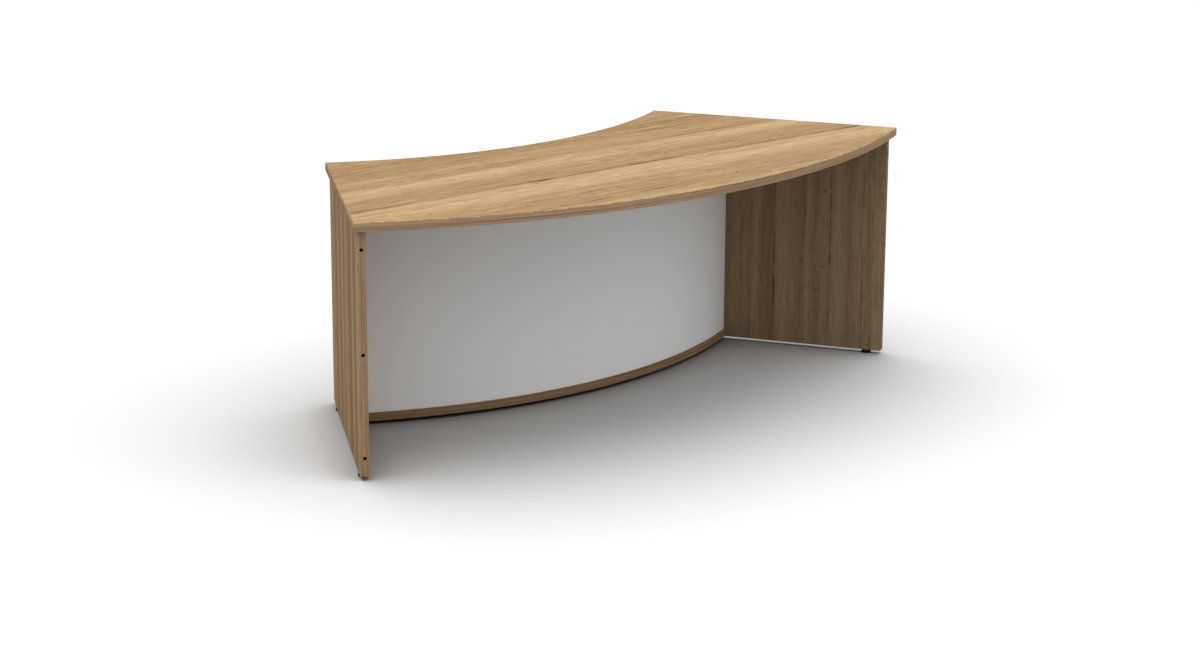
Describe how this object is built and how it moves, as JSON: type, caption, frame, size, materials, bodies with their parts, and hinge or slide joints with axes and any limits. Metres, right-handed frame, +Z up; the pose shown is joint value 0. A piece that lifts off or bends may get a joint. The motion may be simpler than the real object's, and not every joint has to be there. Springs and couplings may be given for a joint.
{
  "type": "reception desk",
  "caption": "Curved reception desk: fan-shaped oak-effect desktop on two end panels with levelling feet, and a set-back white curved front panel held between a base rail and a top rail.",
  "frame": {"origin": "on the floor under the middle of the desk's box", "axes": "+X to the right seen from the visitor side, -Y towards the visitor, +Z up"},
  "size_m": [2.09, 0.9728, 0.73],
  "materials": {
    "oak_board": "oak-effect melamine on chipboard, satin",
    "oak_edging": "printed ABS edging, satin",
    "white_laminate": "white laminate on bent MDF, matt",
    "black_nylon": "moulded nylon",
    "zinc_plate": "zinc plated steel",
    "beech": "plain fluted dowel"
  },
  "bodies": {
    "desk": {"base_rail": "oak_board", "base_rail_front_edging": "oak_edging", "base_rail_rear_edging": "oak_edging", "curved_front_panel": "white_laminate", "desktop_board": "oak_board", "desktop_front_edging": "oak_edging", "desktop_left_edging": "oak_edging", "desktop_rear_edging": "oak_edging", "desktop_right_edging": "oak_edging", "left_base_rail_cam": "zinc_plate", "left_base_rail_cam_bolt": "zinc_plate", "left_base_rail_dowel": "beech", "left_end_panel": "oak_board", "left_front_desktop_cam": "zinc_plate", "left_front_desktop_cam_bolt": "zinc_plate", "left_front_foot_insert": "zinc_plate", "left_panel_front_edging": "oak_edging", "left_panel_rear_edging": "oak_edging", "left_rear_desktop_cam": "zinc_plate", "left_rear_desktop_cam_bolt": "zinc_plate", "left_rear_foot_insert": "zinc_plate", "left_sleeve_bottom": "black_nylon", "left_sleeve_middle": "black_nylon", "left_sleeve_top": "black_nylon", "left_top_rail_cam": "zinc_plate", "left_top_rail_cam_bolt": "zinc_plate", "left_top_rail_dowel": "beech", "right_base_rail_cam": "zinc_plate", "right_base_rail_cam_bolt": "zinc_plate", "right_base_rail_dowel": "beech", "right_end_panel": "oak_board", "right_front_desktop_cam": "zinc_plate", "right_front_desktop_cam_bolt": "zinc_plate", "right_front_foot_insert": "zinc_plate", "right_panel_front_edging": "oak_edging", "right_panel_rear_edging": "oak_edging", "right_rear_desktop_cam": "zinc_plate", "right_rear_desktop_cam_bolt": "zinc_plate", "right_rear_foot_insert": "zinc_plate", "right_sleeve_bottom": "black_nylon", "right_sleeve_middle": "black_nylon", "right_sleeve_top": "black_nylon", "right_top_rail_cam": "zinc_plate", "right_top_rail_cam_bolt": "zinc_plate", "right_top_rail_dowel": "beech", "top_rail": "oak_board", "top_rail_front_edging": "oak_edging", "top_rail_rear_edging": "oak_edging", "top_rail_screw_left": "zinc_plate", "top_rail_screw_middle": "zinc_plate", "top_rail_screw_right": "zinc_plate"},
    "left_front_pad": {"left_front_foot_pad": "black_nylon"},
    "left_front_stud": {"left_front_foot_stud": "zinc_plate"},
    "left_rear_pad": {"left_rear_foot_pad": "black_nylon"},
    "left_rear_stud": {"left_rear_foot_stud": "zinc_plate"},
    "right_front_pad": {"right_front_foot_pad": "black_nylon"},
    "right_front_stud": {"right_front_foot_stud": "zinc_plate"},
    "right_rear_pad": {"right_rear_foot_pad": "black_nylon"},
    "right_rear_stud": {"right_rear_foot_stud": "zinc_plate"}
  },
  "joints": [
    {"name": "left_front_foot_height", "type": "slide", "parent": "desk", "child": "left_front_pad", "axis": [0, 0, -1], "range_m": [0, 0.01]},
    {"name": "left_front_foot_turn", "type": "hinge", "parent": "left_front_pad", "child": "left_front_stud", "pos_m": [-0.99051, -0.15704, 0.02], "axis": [0, 0, -1], "range_deg": [0, 2880]},
    {"name": "left_rear_foot_height", "type": "slide", "parent": "desk", "child": "left_rear_pad", "axis": [0, 0, -1], "range_m": [0, 0.01]},
    {"name": "left_rear_foot_turn", "type": "hinge", "parent": "left_rear_pad", "child": "left_rear_stud", "pos_m": [-0.67451, 0.39029, 0.02], "axis": [0, 0, -1], "range_deg": [0, 2880]},
    {"name": "right_front_foot_height", "type": "slide", "parent": "desk", "child": "right_front_pad", "axis": [0, 0, -1], "range_m": [0, 0.01]},
    {"name": "right_front_foot_turn", "type": "hinge", "parent": "right_front_pad", "child": "right_front_stud", "pos_m": [0.99051, -0.15704, 0.02], "axis": [0, 0, -1], "range_deg": [0, 2880]},
    {"name": "right_rear_foot_height", "type": "slide", "parent": "desk", "child": "right_rear_pad", "axis": [0, 0, -1], "range_m": [0, 0.01]},
    {"name": "right_rear_foot_turn", "type": "hinge", "parent": "right_rear_pad", "child": "right_rear_stud", "pos_m": [0.67451, 0.39029, 0.02], "axis": [0, 0, -1], "range_deg": [0, 2880]}
  ],
  "couplings": [
    {"joint": "left_front_foot_turn", "follows": "left_front_foot_height", "rad_per_m": 5026.5},
    {"joint": "left_rear_foot_turn", "follows": "left_rear_foot_height", "rad_per_m": 5026.5},
    {"joint": "right_front_foot_turn", "follows": "right_front_foot_height", "rad_per_m": 5026.5},
    {"joint": "right_rear_foot_turn", "follows": "right_rear_foot_height", "rad_per_m": 5026.5}
  ]
}
